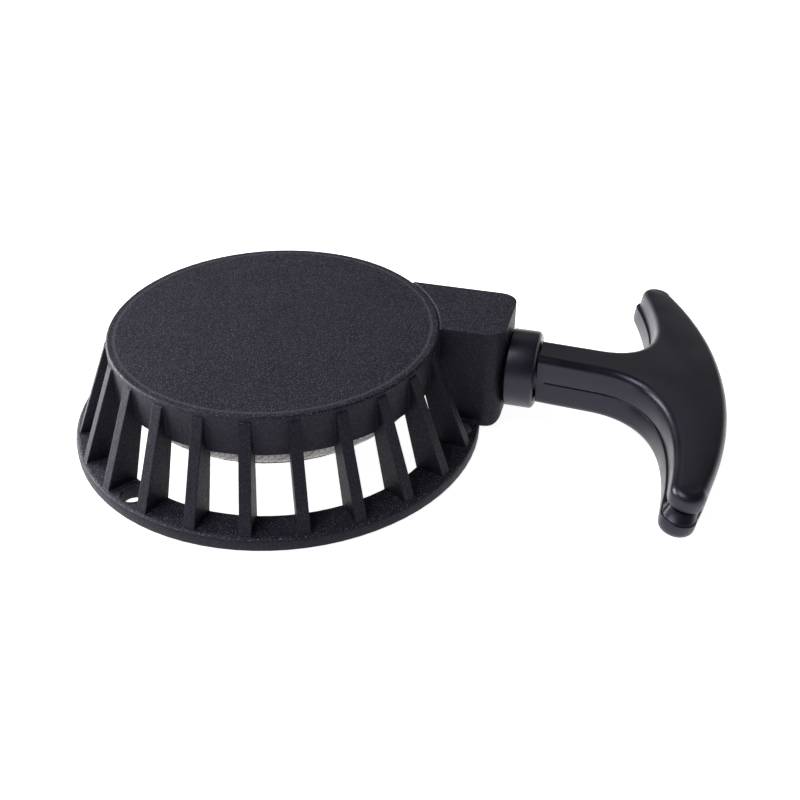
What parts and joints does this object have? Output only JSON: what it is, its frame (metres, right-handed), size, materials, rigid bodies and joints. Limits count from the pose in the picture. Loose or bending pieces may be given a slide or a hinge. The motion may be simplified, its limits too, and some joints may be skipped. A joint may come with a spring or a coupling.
{
  "type": "recoil starter",
  "caption": "Recoil starter for a small engine: vaned drum housing with a rope outlet block, spring-wound rope reel with drive pawls, and a curved T-grip handle.",
  "frame": {"origin": "on the reel's axis, in the plane of the mounting flange's underside", "axes": "+X the way the rope is pulled, +Z along the reel axis towards the closed top of the drum"},
  "size_m": [0.1988, 0.1534, 0.035],
  "materials": {
    "housing_cast": "coarse black textured coat on an alloy casting",
    "grip_plastic": "satin black moulded plastic",
    "reel_nylon": "dark grey nylon",
    "rope": "white braided cord with a pinkish-grey tracer",
    "zinc_steel": "zinc-plated steel",
    "spring_steel": "blued spring steel",
    "bronze": "sintered bronze"
  },
  "bodies": {
    "housing": {"starter_housing": "housing_cast", "rope_eyelet": "zinc_steel", "outlet_collar": "grip_plastic", "mainspring": "spring_steel", "spring_keeper_plate": "zinc_steel", "keeper_screw_1": "zinc_steel", "keeper_screw_2": "zinc_steel", "keeper_screw_3": "zinc_steel", "reel_bushing": "bronze", "rope_feed": "rope", "retaining_washer": "zinc_steel", "centre_screw": "zinc_steel"},
    "reel": {"rope_reel": "reel_nylon", "rope_winding": "rope", "rope_knot_reel": "rope", "pawl_spring_1": "spring_steel", "pawl_spring_2": "spring_steel"},
    "plate": {"friction_plate": "zinc_steel", "wave_washer": "spring_steel"},
    "pawl_a": {"pawl_1": "zinc_steel"},
    "pawl_b": {"pawl_2": "zinc_steel"},
    "handle": {"grip_upper_shell": "grip_plastic", "grip_lower_shell": "grip_plastic", "grip_core": "grip_plastic", "rope_lead": "rope", "knot_washer": "zinc_steel", "rope_knot_handle": "rope"}
  },
  "joints": [
    {"name": "handle_pull", "type": "slide", "parent": "housing", "child": "handle", "axis": [1, 0, 0], "range_m": [0, 0.75], "stiffness_N_per_m": 12, "springref_m": -0.5},
    {"name": "reel_spin", "type": "hinge", "parent": "housing", "child": "reel", "pos_m": [0, 0, 0.0175], "axis": [0, 0, 1], "range_deg": [-1100, 0], "deforming": ["mainspring", "rope_winding", "rope_feed"]},
    {"name": "plate_lag", "type": "hinge", "parent": "reel", "child": "plate", "pos_m": [0, 0, 0.0079], "axis": [0, 0, 1], "range_deg": [0, 17.5], "stiffness_Nm_per_rad": 0.02, "springref_deg": -17.19},
    {"name": "pawl_1_swing", "type": "hinge", "parent": "reel", "child": "pawl_a", "pos_m": [0, 0.019, 0.0117], "axis": [0, 0, 1], "range_deg": [0, 35]},
    {"name": "pawl_2_swing", "type": "hinge", "parent": "reel", "child": "pawl_b", "pos_m": [0, -0.019, 0.0117], "axis": [0, 0, 1], "range_deg": [0, 35]}
  ],
  "couplings": [
    {"joint": "reel_spin", "follows": "handle_pull", "rad_per_m": -25.4},
    {"joint": "pawl_1_swing", "follows": "plate_lag", "ratio": 2},
    {"joint": "pawl_2_swing", "follows": "plate_lag", "ratio": 2}
  ]
}
